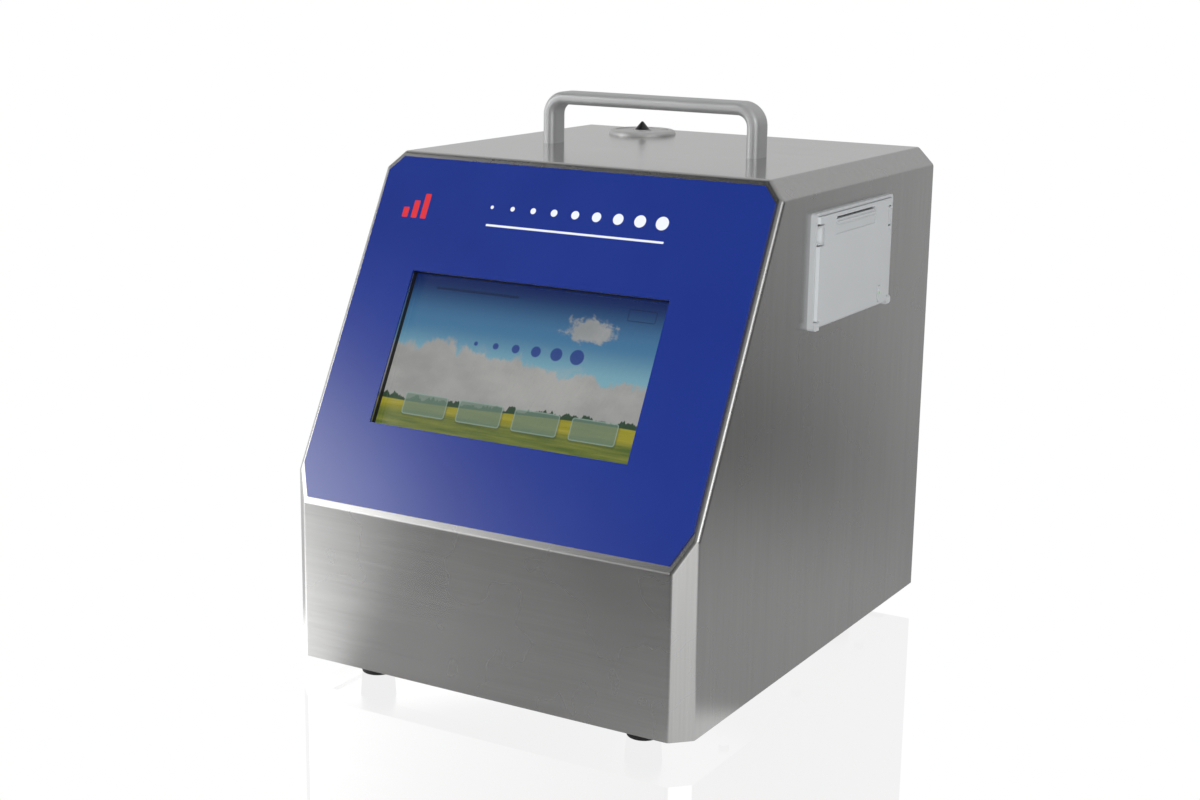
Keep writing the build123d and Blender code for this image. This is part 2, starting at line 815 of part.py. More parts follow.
def main_board():
    low = plate_top + board_post_height
    high = low + board_thickness
    half_x = main_board_width / 2
    half_y = main_board_depth / 2
    body = block(main_board_x - half_x, main_board_x + half_x,
                 main_board_y - half_y, main_board_y + half_y, low, high)
    chip = Box(chip_size, chip_size, chip_height)
    body += Pos(main_board_x - chip_size, main_board_y, high + chip_height / 2) * chip
    body += Pos(main_board_x + chip_size, main_board_y + chip_size / 2, high + chip_height / 2) * chip
    side_row = Box(plug_row_height, plug_row_length, plug_row_height)
    front_row = Box(plug_row_length, plug_row_height, plug_row_height)
    edge_x = half_x - 2 * plug_row_height
    edge_y = half_y - plug_row_height
    body += Pos(main_board_x - edge_x, main_board_y, high + plug_row_height / 2) * side_row
    body += Pos(main_board_x + edge_x, main_board_y, high + plug_row_height / 2) * side_row
    body += Pos(main_board_x, main_board_y - edge_y, high + plug_row_height / 2) * front_row
    pitch = 2.5 * capacitor_radius
    for number in range(4):
        x = main_board_x - half_x / 2 + number * pitch
        y = main_board_y + half_y - 3 * capacitor_radius
        body += rod(capacitor_radius, capacitor_height, (x, y, high))
    return body


def board_posts():
    return [rod(board_post_radius, board_post_height, (x, y, plate_top)) for x, y in board_post_places()]


def power_supply():
    """A closed supply in a vented sheet box."""
    half_x = supply_width / 2
    half_y = supply_depth / 2
    body = block(supply_x - half_x, supply_x + half_x, supply_y - half_y, supply_y + half_y,
                 plate_top, plate_top + supply_height)
    body = fillet(body.edges().filter_by(Axis.Y), 1)
    lid = plate_top + supply_height
    reach = half_x - supply_vent_margin / 2
    pitch = (supply_depth - 2 * supply_vent_margin) / (supply_vents - 1)
    for number in range(supply_vents):
        y = supply_y - half_y + supply_vent_margin + number * pitch
        body -= block(supply_x - reach, supply_x + reach, y - supply_vent_width / 2,
                      y + supply_vent_width / 2, lid - 1, lid + 1)
    return body


# ================= mains inlet module =================

socket_z = mains_z - mains_height / 2 + 5 + socket_height / 2
drawer_z = socket_z + socket_height / 2 + 3 + drawer_height / 2
rocker_z = drawer_z + drawer_height / 2 + 4 + rocker_height / 2
mains_face = rear_y + mains_flange
rocker_axis_y = mains_face - 2.0


def socket_outline():
    """A three-pin inlet's outline: a rectangle with its two upper corners cut."""
    half_x = socket_width / 2
    half_z = socket_height / 2
    cut = 4.0
    return [(-half_x, -half_z), (half_x, -half_z), (half_x, half_z - cut), (half_x - cut, half_z),
            (-half_x + cut, half_z), (-half_x, half_z - cut)]


def mains_inlet():
    """One moulded module: socket, fuse drawer bay and switch bay behind a common flange."""
    half_x = mains_width / 2
    half_z = mains_height / 2
    body = block(mains_x - half_x, mains_x + half_x, rear_y, mains_face, mains_z - half_z, mains_z + half_z)
    body = fillet(body.edges().filter_by(Axis.Y), 3)
    body_half_x = half_x - mains_flange - seat
    body_half_z = half_z - mains_flange - seat
    body += block(mains_x - body_half_x, mains_x + body_half_x, mains_face - mains_depth, rear_y,
                  mains_z - body_half_z, mains_z + body_half_z)
    hole = prism(socket_outline(), Plane.XZ, socket_depth)
    body -= Pos(mains_x, mains_face, socket_z) * hole
    body -= block(mains_x - drawer_width / 2 - run, mains_x + drawer_width / 2 + run,
                  mains_face - drawer_depth - seat, mains_face + 1,
                  drawer_z - drawer_height / 2 - run, drawer_z + drawer_height / 2 + run)
    room = 1.0
    body -= block(mains_x - rocker_width / 2 - seat, mains_x + rocker_width / 2 + seat,
                  mains_face - 9, mains_face + 1,
                  rocker_z - rocker_height / 2 - room, rocker_z + rocker_height / 2 + room)
    stub_reach = rocker_width / 2 + seat + rocker_stub
    start = (mains_x - stub_reach, rocker_axis_y, rocker_z)
    return body - rod(rocker_pivot + run, 2 * stub_reach, start, "X")


def inlet_pins():
    """The socket's three contact blades, seated in the socket's floor."""
    base = mains_face - socket_depth
    length = socket_depth - 4
    pins = []
    for x, z in ((-7, -2), (7, -2), (0, 2)):
        pins.append(block(mains_x + x - pin_width / 2, mains_x + x + pin_width / 2, base, base + length,
                          socket_z + z - pin_height / 2, socket_z + z + pin_height / 2))
    return pins


def fuse_drawer():
    """A drawer with a finger lip, holding the fuse in its trough."""
    half_x = drawer_width / 2
    half_z = drawer_height / 2
    body = block(mains_x - half_x, mains_x + half_x, mains_face - drawer_depth, mains_face + 1,
                 drawer_z - half_z, drawer_z + half_z)
    body -= block(mains_x - half_x + 2, mains_x + half_x - 2, mains_face - drawer_depth + 2, mains_face - 3,
                  drawer_z - half_z + 2, drawer_z + half_z)
    return body + block(mains_x - 4, mains_x + 4, mains_face + 1, mains_face + 2,
                        drawer_z + half_z - 2, drawer_z + half_z)


def power_rocker():
    """A rocker with two tilted faces on pivot stubs, tipped to its off side."""
    half_x = rocker_width / 2
    half_z = rocker_height / 2
    profile = [(-4, -half_z + 3), (-4, half_z - 3), (1, half_z), (4.2, half_z - 1), (2.4, 0),
               (4.2, -half_z + 1), (1, -half_z)]
    body = prism(profile, Plane.YZ, half_x, both=True)
    stub_reach = half_x + rocker_stub
    body += rod(rocker_pivot, 2 * stub_reach, (-stub_reach, 0, 0), "X")
    return Pos(mains_x, rocker_axis_y, rocker_z) * Rot(rocker_throw, 0, 0) * body


# ================= data sockets =================

def usb_socket():
    """A metal shell with a tongue, open to the rear."""
    half_x = usb_width / 2
    half_z = usb_height / 2
    start = rear_y - data_depth
    body = block(usb_x - half_x, usb_x + half_x, start, rear_y, data_z - half_z, data_z + half_z)
    body += block(usb_x - half_x - 2, usb_x + half_x + 2, panel_inner - 1, panel_inner,
                  data_z - half_z - 2, data_z + half_z + 2)
    body -= block(usb_x - half_x + 0.6, usb_x + half_x - 0.6, start + 2, rear_y + 1,
                  data_z - half_z + 0.6, data_z + half_z - 0.6)
    return body + block(usb_x - half_x + 1.5, usb_x + half_x - 1.5, start + 2, rear_y - 1,
                        data_z + 0.3, data_z + 2)


def serial_socket():
    """A nine-way socket: a flange on the panel, a D-shaped shell and two jack posts."""
    half_x = serial_width / 2
    half_z = serial_height / 2
    face = rear_y + 1
    body = block(serial_x - half_x, serial_x + half_x, rear_y, face, data_z - half_z, data_z + half_z)
    body = fillet(body.edges().filter_by(Axis.Y), 1.5)
    wide = serial_width * 0.29
    shell = [(-wide, half_z - 2), (wide, half_z - 2), (wide - 1.4, -half_z + 2), (-wide + 1.4, -half_z + 2)]
    body += Pos(serial_x, face, data_z) * prism(shell, Plane.XZ, -5.5)
    body += block(serial_x - wide, serial_x + wide, rear_y - data_depth, rear_y,
                  data_z - half_z + 2, data_z + half_z - 2)
    for side in (-1, 1):
        post = extrude(RegularPolygon(2.8, 6), 5)
        place = Pos(serial_x + side * serial_width * 0.4, face, data_z) * TURNS["Y"]
        body += place * (post - rod(1.4, 5, (0, 0, 1)))
    return body


# ================= fan =================

def fan_hole_places():
    half = fan_hole_pitch / 2
    return [(fan_x + x, fan_z + z) for x in (-half, half) for z in (-half, half)]


def fan_frame():
    """A square moulded frame with a round duct, and a hub on four struts at its inner side."""
    half = fan_size / 2
    low = panel_inner - fan_depth
    body = block(fan_x - half, fan_x + half, low, panel_inner, fan_z - half, fan_z + half)
    body = fillet(body.edges().filter_by(Axis.Y), 4)
    body -= rod(fan_duct, fan_depth, (fan_x, low, fan_z), "Y")
    strut = 2.5
    for angle in (45, 135):
        bar = Rot(0, angle, 0) * Box(2 * fan_duct + 4, strut, 3)
        body += Pos(fan_x, low + strut / 2, fan_z) * bar
    body += rod(fan_hub - 1, strut, (fan_x, low, fan_z), "Y")
    body -= rod(fan_shaft + run, 2 * strut, (fan_x, low, fan_z), "Y")
    for x, z in fan_hole_places():
        body -= rod(panel_screw_radius + slip, fan_depth, (x, low, z), "Y")
    return body


def fan_rotor():
    """A hub with pitched blades on a shaft that turns in the frame's hub."""
    low = panel_inner - fan_depth + 2.5 + seat
    high = panel_inner - 1.5
    middle = (low + high) / 2
    body = rod(fan_hub, high - low, (fan_x, low, fan_z), "Y")
    reach = fan_duct - 1 - fan_hub
    for number in range(fan_blades):
        turn = Rot(0, number * 360 / fan_blades, 0)
        leaf = Rot(fan_blade_tilt, 0, 0) * Box(reach, fan_blade_thickness, fan_blade_chord)
        blade = Pos(fan_hub + reach / 2 - fan_blade_root, 0, 0) * leaf
        body += Pos(fan_x, middle, fan_z) * turn * blade
    body &= rod(fan_duct - 1, high - low, (fan_x, low, fan_z), "Y")
    return body + rod(fan_shaft, -2.5, (fan_x, low, fan_z), "Y")


def fan_guard():
    """A stamped grille: rings on crossed bars, with an eye at each screw."""
    outline = Circle(fan_duct + 1) - Circle(fan_duct + 1 - guard_wire)
    for ring in (8, 13, 18, 23):
        outline += Circle(ring) - Circle(ring - guard_wire)
    for angle in (45, 135):
        outline += Rot(0, 0, angle) * Rectangle(fan_hole_pitch * math.sqrt(2), guard_wire)
    half = fan_hole_pitch / 2
    for x in (-half, half):
        for y in (-half, half):
            outline += Pos(x, y) * Circle(3.2)
            outline -= Pos(x, y) * Circle(panel_screw_radius + slip)
    return Pos(fan_x, rear_y, fan_z) * extrude(Plane.XZ * outline, -guard_sheet)


def fan_screws():
    return [screw(panel_screw_radius, panel_screw_head, screw_head_height, fan_depth / 2,
                  (x, rear_y + guard_sheet, z), "Y", -1)
            for x, z in fan_hole_places()]


# ================= printer =================

printer_low = printer_z - printer_height / 2
printer_high = printer_z + printer_height / 2
pivot_x = half_width + pivot_rise
pivot_z = printer_low + pivot_up
pivot_round = door_rise - pivot_rise
bay_z = printer_z + bay_lift
door_back = half_width + floor_rise + seat
door_face = half_width + door_rise
door_half = printer_width / 2 - rim_side - seat
door_high = printer_high - rim_top - seat
lug_in = printer_width / 2 - lug_width
tab_z = printer_z + tab_low + tab_height / 2
tab_inner = printer_width / 2 - tab_in
slot_z = door_high - slot_down
roller_x = half_width - roller_depth
roller_z = slot_z - roller_down
ear_in = slot_width / 2
latch_x = half_width - 0.5
lens_start = (door_face + button_proud - lens_depth, printer_y + button_y, printer_z + button_z + lens_up)
latch_z = printer_z + tab_low + latch_bar / 2


def printer_frame():
    """The printer's fixed moulding: rim, floor, hinge lugs and the paper bay behind the case's side."""
    half = printer_width / 2
    body = block(half_width, half_width + rim_rise, printer_y - half, printer_y + half,
                 printer_low, printer_high)
    body = fillet(body.edges().filter_by(Axis.X), 2)
    body -= block(half_width + floor_rise, half_width + 2 * rim_rise, printer_y - half + rim_side,
                  printer_y + half - rim_side, printer_low - 1, printer_high - rim_top)
    wall_y = bay_width / 2 + bay_wall
    wall_z = bay_height / 2 + bay_wall
    body += block(half_width - bay_depth, half_width, printer_y - wall_y, printer_y + wall_y,
                  bay_z - wall_z, bay_z + wall_z)
    body -= block(half_width - bay_depth + bay_wall, half_width + 2 * rim_rise,
                  printer_y - bay_width / 2, printer_y + bay_width / 2,
                  bay_z - bay_height / 2, bay_z + bay_height / 2)
    trough = pivot_round + seat
    body -= rod(trough, printer_width - 2 * rim_side, (pivot_x, printer_y - half + rim_side, pivot_z), "Y")
    body -= block(pivot_x - trough, door_face, printer_y - half + rim_side, printer_y + half - rim_side,
                  printer_low - 1, pivot_z)
    for side in (-1, 1):
        body += hinge_lug(side)
        inner = printer_y + side * (bay_width / 2 - latch_bar)
        outer = printer_y + side * bay_width / 2
        y0, y1 = sorted((inner, outer))
        body += block(half_width - 4, half_width - 2.5, y0, y1, latch_z - 8, latch_z - 3)
    return body - button_form(collar_grow + 2 * seat, door_back - button_travel - seat, door_back)


def hinge_lug(side):
    """A rounded block in a lower corner of the frame, bored for the door's pin."""
    outer = printer_y + side * printer_width / 2
    inner = printer_y + side * lug_in
    y0, y1 = sorted((outer, inner))
    body = block(half_width, door_face, y0, y1, printer_low, pivot_z)
    body += block(half_width, pivot_x, y0, y1, pivot_z, pivot_z + pivot_round)
    body += rod(pivot_round, y1 - y0, (pivot_x, y0, pivot_z), "Y")
    outer_edges = [edge for edge in body.edges().filter_by(Axis.X) if abs(edge.center().Y - outer) < 0.01
                   and abs(edge.center().Z - printer_low) < 0.01]
    body = fillet(outer_edges, 2)
    bore_start = y0 if side > 0 else y0 + rim_side
    return body - rod(door_pin_radius + run, y1 - y0 - rim_side, (pivot_x, bore_start, pivot_z), "Y")


def door_plate():
    """The door's slab, bevelled along both sides and rounded about its pivot."""
    wing_low = pivot_z + pivot_round + 2 * seat
    body = block(door_back, door_face, printer_y - door_half, printer_y + door_half, wing_low, door_high)
    side_edges = [edge for edge in body.edges().filter_by(Axis.Z) if edge.center().X > door_face - 0.1]
    body = chamfer(side_edges, door_bevel * 0.75, door_bevel)
    leaf_half = lug_in - seat
    body += block(door_back, door_face, printer_y - leaf_half, printer_y + leaf_half, pivot_z, wing_low)
    return body + rod(pivot_round, 2 * leaf_half, (pivot_x, printer_y - leaf_half, pivot_z), "Y")


def printer_door():
    """The door with its paper slot, recesses for the latch tabs, button hole and roller ears."""
    body = door_plate()
    slot_mid = printer_y + slot_y
    body -= block(door_back - 1, door_face + 1, slot_mid - slot_width / 2, slot_mid + slot_width / 2,
                  slot_z - slot_gap / 2, slot_z + slot_gap / 2)
    body -= block(door_face - slot_recess, door_face + 1, slot_mid - slot_width / 2 - 1,
                  slot_mid + slot_width / 2 + 1, slot_z - 3 * tear_height, slot_z)
    for side in (-1, 1):
        y0, y1 = sorted((printer_y + side * (tab_inner - tab_gap), printer_y + side * (door_half + 1)))
        body -= block(door_back - 1, door_face + 1, y0, y1,
                      tab_z - tab_height / 2 - tab_gap, tab_z + tab_height / 2 + tab_gap)
    for side in (-1, 1):
        body += roller_ear(side)
    body -= button_form(seat, door_back - 1, door_face + 1)
    body -= button_form(collar_grow + seat, door_back - 1, door_back + collar_depth + seat)
    for side in (-1, 1):
        start = (pivot_x, printer_y + side * lug_in, pivot_z)
        body -= rod(door_pin_radius + run, -side * door_pin_length, start, "Y")
        lug_y = printer_y + side * latch_lug_reach - latch_lug / 2
        lug = block(latch_x, door_back, lug_y, lug_y + latch_lug, latch_z - latch_bar, latch_z + latch_bar)
        lug += rod(latch_bar, latch_lug, (latch_x, lug_y, latch_z), "Y")
        body += lug - rod(latch_bar / 2 + run, latch_lug, (latch_x, lug_y, latch_z), "Y")
    return body


def roller_ear(side):
    """A plate behind the door that carries one end of the roller."""
    inner = printer_y + slot_y + side * ear_in
    y0, y1 = sorted((inner, inner + side * ear_thickness))
    half = roller_radius - seat
    body = block(roller_x, door_back, y0, y1, roller_z - half, roller_z + half)
    body += rod(half, ear_thickness, (roller_x, y0, roller_z), "Y")
    return body - rod(roller_shaft + run, ear_thickness, (roller_x, y0, roller_z), "Y")


def button_form(grow, low, high):
    """The feed button's oval outline, grown all round, between two places along X."""
    middle_y = printer_y + button_y
    middle_z = printer_z + button_z
    radius = button_width / 2 + grow
    straight = button_height / 2 - button_width / 2
    body = block(low, high, middle_y - radius, middle_y + radius, middle_z - straight, middle_z + straight)
    for side in (-1, 1):
        body += rod(radius, high - low, (low, middle_y, middle_z + side * straight), "X")
    return body


def door_pins():
    """Steel pins from the frame's lugs into the door's ends."""
    start = printer_width / 2 - rim_side
    return [rod(door_pin_radius, door_pin_length, (pivot_x, printer_y - start, pivot_z), "Y"),
            rod(door_pin_radius, -door_pin_length, (pivot_x, printer_y + start, pivot_z), "Y")]


def door_latch():
    """Two finger tabs joined by a bar behind the door: pulling them turns the bar."""
    bar_reach = bay_width / 2 - 2 * seat
    body = rod(latch_bar / 2, 2 * bar_reach, (latch_x, printer_y - bar_reach, latch_z), "Y")
    for side in (-1, 1):
        body += latch_tab(side)
    return body


def latch_tab(side):
    """A scooped finger tab with an arm back to the bar and a hook that rides over the frame's striker."""
    outer = door_half - seat
    lip = half_width + tab_rise
    low_z = tab_z - tab_height / 2
    high_z = tab_z + tab_height / 2
    y0, y1 = sorted((printer_y + side * tab_inner, printer_y + side * outer))
    body = block(door_back, lip, y0, y1, low_z, high_z)
    scoop_y = printer_y + side * outer
    scoop_x = lip + tab_scoop_out
    body -= rod(tab_scoop, high_z - low_z - 2 * tab_rim, (scoop_x, scoop_y, low_z + tab_rim))
    arm_out = bay_width / 2 - 2 * seat
    a0, a1 = sorted((printer_y + side * tab_inner, printer_y + side * arm_out))
    arm_x = latch_x - latch_bar / 2
    body += block(arm_x, lip - tab_rim, a0, a1, latch_z - latch_bar / 2, latch_z + latch_arm_up)
    hook_x = half_width - latch_hook_reach
    return body + block(hook_x, latch_x, a0, a1, latch_z - latch_hook_down, latch_z + latch_hook_up)


def platen_roller():
    """A rubber roller on a steel shaft that turns in the door's ears."""
    mid = printer_y + slot_y
    reach = ear_in - seat
    body = rod(roller_radius, 2 * reach, (roller_x, mid - reach, roller_z), "Y")
    ends = ear_in + ear_thickness + 1
    body += rod(roller_shaft, 2 * ends, (roller_x, mid - ends, roller_z), "Y")
    return body


def tear_bar():
    """The serrated strip under the slot's mouth, seated in the door's recess."""
    mid = printer_y + slot_y
    half = slot_width / 2
    low = slot_z - slot_gap / 2 - tear_height
    high = slot_z - slot_gap / 2
    base = door_face - slot_recess
    body = block(base, base + 0.5, mid - half, mid + half, low, high)
    pitch = slot_width / tear_teeth
    teeth = [(-half, 0)]
    for number in range(tear_teeth):
        start = -half + number * pitch
        teeth += [(start + pitch / 2, 1.0), (start + pitch, 0)]
    teeth += [(half, -0.8), (-half, -0.8)]
    return body + Pos(base + 0.5, mid, low + 0.8) * Rot(180, 0, 0) * prism(teeth, Plane.YZ, 0.9)


def feed_button():
    """The oval feed key, with a rear collar that keeps it in the door."""
    body = button_form(0, door_back + collar_depth / 2, door_face + button_proud)
    body += button_form(collar_grow, door_back, door_back + collar_depth)
    return body - rod(lens_radius + slip, lens_depth, lens_start, "X")


def status_lens():
    return rod(lens_radius, lens_depth, lens_start, "X")


def print_head():
    """The thermal head block, seated under the bay's roof behind the roller."""
    mid = printer_y + slot_y
    front = roller_x - roller_radius - seat
    roof = bay_z + bay_height / 2
    half = ear_in - 2 * seat
    body = block(front - head_depth, front, mid - half, mid + half, roof - head_height, roof)
    plug_y = mid - half + head_plug_in
    body += block(front - head_depth - head_plug_depth, front - head_depth, plug_y,
                  plug_y + head_plug_width, roof - head_height + 2, roof - 2)
    return body


def paper_roll():
    """A wound roll on its core, lying in the bay."""
    mid = printer_y + slot_y
    z = bay_z - bay_height / 2 + paper_radius + 0.2
    x = half_width - bay_depth + bay_wall + paper_radius + 2
    return tube(paper_radius, paper_core, paper_width, (x, mid - paper_width / 2, z), "Y")


# ================= write every sub-part =================

def sub_parts():
    """Every node's name with its solid, or its list of equal solids."""
    makers = [housing_shell, base_plate, rear_panel, base_screws, panel_screws, foot_screws,
              front_overlay, display_gasket, touch_glass, lcd_panel, display_bracket, display_posts,
              display_nuts, display_board, carry_handle, handle_screws, inlet_flange, inlet_seal,
              inlet_nut, inlet_plug, inlet_tube, sensor_block, laser_module, beam_dump, detector_board,
              sensor_bracket, flow_sensor, pump_housing, pump_impeller, pump_motor, exhaust_filter,
              exhaust_tube, exhaust_spigot, main_board, board_posts, power_supply, mains_inlet,
              inlet_pins, fuse_drawer, power_rocker, usb_socket, serial_socket, fan_frame, fan_rotor,
              fan_guard, fan_screws, printer_frame, printer_door, door_pins, door_latch, platen_roller,
              tear_bar, feed_button, status_lens, print_head, paper_roll]
    parts = {maker.__name__: maker() for maker in makers}
    for name, (x, y) in foot_places().items():
        parts[name] = foot(x, y)
    return parts


os.makedirs("parts", exist_ok=True)
for name, part in sub_parts().items():
    solids = part if isinstance(part, list) else [part]
    shape = Compound(children=solids) if len(solids) > 1 else solids[0]
    export_step(shape, f"parts/{name}.step")
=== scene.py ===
import math

import bmesh
import bpy
from mathutils import Matrix, Vector

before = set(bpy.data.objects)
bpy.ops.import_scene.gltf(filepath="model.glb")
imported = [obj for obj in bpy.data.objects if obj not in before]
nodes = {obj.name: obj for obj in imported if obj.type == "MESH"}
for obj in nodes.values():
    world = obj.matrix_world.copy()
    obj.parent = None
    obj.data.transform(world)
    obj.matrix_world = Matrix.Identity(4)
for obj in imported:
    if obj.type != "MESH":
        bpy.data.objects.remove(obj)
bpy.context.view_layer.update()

# ---------------------------------------------------------------- slope's frame
SLOPE_LOW = Vector((0.0, -0.1525, 0.101))        # middle of the slope's bottom edge
SLOPE_TOP = Vector((0.0, -0.0545, 0.286))
SLOPE_UP = (SLOPE_TOP - SLOPE_LOW).normalized()
SLOPE_OUT = Vector((1, 0, 0)).cross(SLOPE_UP)
SLOPE = Matrix.Translation(SLOPE_LOW) @ Matrix((Vector((1, 0, 0)), SLOPE_UP, SLOPE_OUT)).transposed().to_4x4()
WINDOW_X, WINDOW_LOW, WINDOW_H = -0.005, 0.0505, 0.0885   # middle, bottom edge and height on the slope


# ---------------------------------------------------------------- node helpers
class Tree:
    """A material's node tree, with short calls for the nodes that are used often."""

    def __init__(self, name):
        self.material = bpy.data.materials.new(name)
        self.material.use_nodes = True
        self.tree = self.material.node_tree
        self.tree.nodes.clear()
        self.output = self.add("ShaderNodeOutputMaterial")

    def add(self, kind, **settings):
        node = self.tree.nodes.new(kind)
        for key, value in settings.items():
            setattr(node, key, value)
        return node

    def put(self, value, socket):
        if isinstance(value, bpy.types.NodeSocket):
            self.tree.links.new(value, socket)
        elif isinstance(value, (tuple, list, Vector)) and len(value) == 3 and socket.type == "RGBA":
            socket.default_value = (*value, 1.0)
        else:
            socket.default_value = value

    def math(self, operation, a, b=0.5):
        node = self.add("ShaderNodeMath", operation=operation)
        for socket, value in zip(node.inputs, (a, b)):
            self.put(value, socket)
        return node.outputs[0]

    def vector(self, operation, a, b=(0, 0, 0), scale=1.0):
        node = self.add("ShaderNodeVectorMath", operation=operation)
        self.put(a, node.inputs[0])
        self.put(b, node.inputs[1])
        if operation == "SCALE":
            self.put(scale, node.inputs["Scale"])
        return node.outputs["Value" if operation in ("DOT_PRODUCT", "LENGTH", "DISTANCE") else "Vector"]

    def place(self, kind="Object"):
        return self.add("ShaderNodeTexCoord").outputs[kind]

    def split(self, vector):
        node = self.add("ShaderNodeSeparateXYZ")
        self.put(vector, node.inputs[0])
        return node.outputs

    def join(self, x, y, z):
        node = self.add("ShaderNodeCombineXYZ")
        for socket, value in zip(node.inputs, (x, y, z)):
            self.put(value, socket)
        return node.outputs[0]

    def noise(self, vector, scale=1.0, detail=2.0, roughness=0.5):
        node = self.add("ShaderNodeTexNoise")
        self.put(vector, node.inputs["Vector"])
        node.inputs["Scale"].default_value = scale
        node.inputs["Detail"].default_value = detail
        node.inputs["Roughness"].default_value = roughness
        return node.outputs["Fac"]

    def ramp(self, value, low, high, to_low=0.0, to_high=1.0, smooth=False):
        node = self.add("ShaderNodeMapRange", interpolation_type="SMOOTHSTEP" if smooth else "LINEAR")
        for socket, item in zip(node.inputs, (value, low, high, to_low, to_high)):
            self.put(item, socket)
        return node.outputs[0]

    def mix(self, share, a, b):
        node = self.add("ShaderNodeMix", data_type="RGBA")
        self.put(share, node.inputs["Factor"])
        colours = [s for s in node.inputs if s.type == "RGBA"]
        self.put(a, colours[0])
        self.put(b, colours[1])
        return [s for s in node.outputs if s.type == "RGBA"][0]

    def mix_vector(self, share, a, b):
        node = self.add("ShaderNodeMix", data_type="VECTOR")
        self.put(share, node.inputs["Factor"])
        vectors = [s for s in node.inputs if s.type == "VECTOR" and s.enabled]
        self.put(a, vectors[-2])
        self.put(b, vectors[-1])
        return [s for s in node.outputs if s.type == "VECTOR"][0]

    def bump(self, height, strength, distance):
        node = self.add("ShaderNodeBump")
        node.inputs["Strength"].default_value = strength
        node.inputs["Distance"].default_value = distance
        self.put(height, node.inputs["Height"])
        return node.outputs[0]

    def shader(self, **values):
        """A Principled shader on the material's output. Names' underscores stand for spaces."""
        node = self.add("ShaderNodeBsdfPrincipled")
        for key, value in values.items():
            self.put(value, node.inputs[key.replace("_", " ")])
        self.tree.links.new(node.outputs[0], self.output.inputs[0])
        return node


def srgb(red, green, blue):
    """Linear values of a colour given as 0 to 255."""
    return tuple(v / 255 / 12.92 if v <= 10 else ((v / 255 + 0.055) / 1.055) ** 2.4 for v in (red, green, blue))


# ---------------------------------------------------------------- materials
GRAIN_LONG, GRAIN_FINE = 22.0, 1000.0    # noise cells per metre along and across the brushing
BAND_LONG, BAND_FINE = 7.0, 260.0
INK_EDGE = 0.0001                        # how soft the printed edges are, in metres


def brushed_steel(name, colour, rough):
    """Steel sheet with its grain along the case's width on the front and top, and upright on the sides."""
    t = Tree(name)
    at = t.place()
    turned = t.split(t.place("Normal"))
    side = t.ramp(t.math("ABSOLUTE", turned[0]), 0.60, 0.68, smooth=True)

    def streaks(long, fine):
        level = t.vector("MULTIPLY", at, (long, fine, fine))
        return t.mix_vector(side, level, t.vector("MULTIPLY", at, (fine, fine, long)))

    grain = t.noise(streaks(GRAIN_LONG, GRAIN_FINE), 1.0, 1.0, 0.5)
    bands = t.noise(streaks(BAND_LONG, BAND_FINE), 1.0, 2.0, 0.5)
    cloud = t.noise(at, 14.0, 3.0, 0.55)
    tone = t.math("ADD", t.ramp(grain, 0.25, 0.75, -0.03, 0.03), t.ramp(bands, 0.3, 0.7, -0.022, 0.022))
    tone = t.math("ADD", tone, t.ramp(cloud, 0.3, 0.7, -0.02, 0.02))
    bright = t.math("ADD", tone, 1.0)
    base = t.vector("SCALE", colour, scale=bright)
    matte = t.ramp(cloud, 0.3, 0.7, rough - 0.01, rough + 0.015)
    matte = t.math("ADD", matte, t.ramp(turned[2], 0.90, 0.99, 0.0, -0.12))
    normal = t.add("ShaderNodeNewGeometry").outputs["Normal"]
    across = t.mix_vector(side, t.vector("CROSS_PRODUCT", normal, (1, 0, 0)),
                          t.vector("CROSS_PRODUCT", normal, (0, 0, 1)))
    t.shader(Base_Color=base, Metallic=1.0, Roughness=matte, Anisotropic=0.62, Tangent=across)
    return t.material


def satin_metal(name, colour, rough, grit=2500.0, shift=0.03, metallic=1.0):
    """Blasted, turned or plated metal with a fine even grain."""
    t = Tree(name)
    speck = t.noise(t.place(), grit, 2.0, 0.6)
    cloud = t.noise(t.place(), 40.0, 2.0, 0.5)
    tone = t.math("ADD", 1.0, t.math("ADD", t.ramp(speck, 0.3, 0.7, -shift, shift),
                                     t.ramp(cloud, 0.3, 0.7, -shift, shift)))
    t.shader(Base_Color=t.vector("SCALE", colour, scale=tone), Metallic=metallic,
             Roughness=t.ramp(speck, 0.3, 0.7, rough - 0.04, rough + 0.04),
             Normal=t.bump(speck, 0.12, 0.00003))
    return t.material


def moulded(name, colour, rough, grit=1400.0, bump=0.12, shift=0.04, coat=0.0, depth=0.00005):
    """Moulded plastic or rubber with a fine spark-eroded grain."""
    t = Tree(name)
    grain = t.noise(t.place(), grit, 3.0, 0.6)
    cloud = t.noise(t.place(), 30.0, 2.0, 0.5)
    tone = t.math("ADD", 1.0, t.math("ADD", t.ramp(grain, 0.3, 0.7, -shift / 2, shift / 2),
                                     t.ramp(cloud, 0.3, 0.7, -shift, shift)))
    t.shader(Base_Color=t.vector("SCALE", colour, scale=tone), Coat_Weight=coat,
             Roughness=t.ramp(cloud, 0.3, 0.7, rough - 0.03, rough + 0.04),
             Normal=t.bump(grain, bump, depth))
    return t.material


def rounded(t, u, v, middle_u, middle_v, half_u, half_v, corner):
    """Signed distance, in metres, from a rounded rectangle on the screen."""
    du = t.math("MAXIMUM", t.math("SUBTRACT", t.math("ABSOLUTE", t.math("SUBTRACT", u, middle_u)),
                                  half_u - corner), 0.0)
    dv = t.math("MAXIMUM", t.math("SUBTRACT", t.math("ABSOLUTE", t.math("SUBTRACT", v, middle_v)),
                                  half_v - corner), 0.0)
    far = t.vector("LENGTH", t.join(du, dv, 0.0))
    return t.math("SUBTRACT", far, corner)


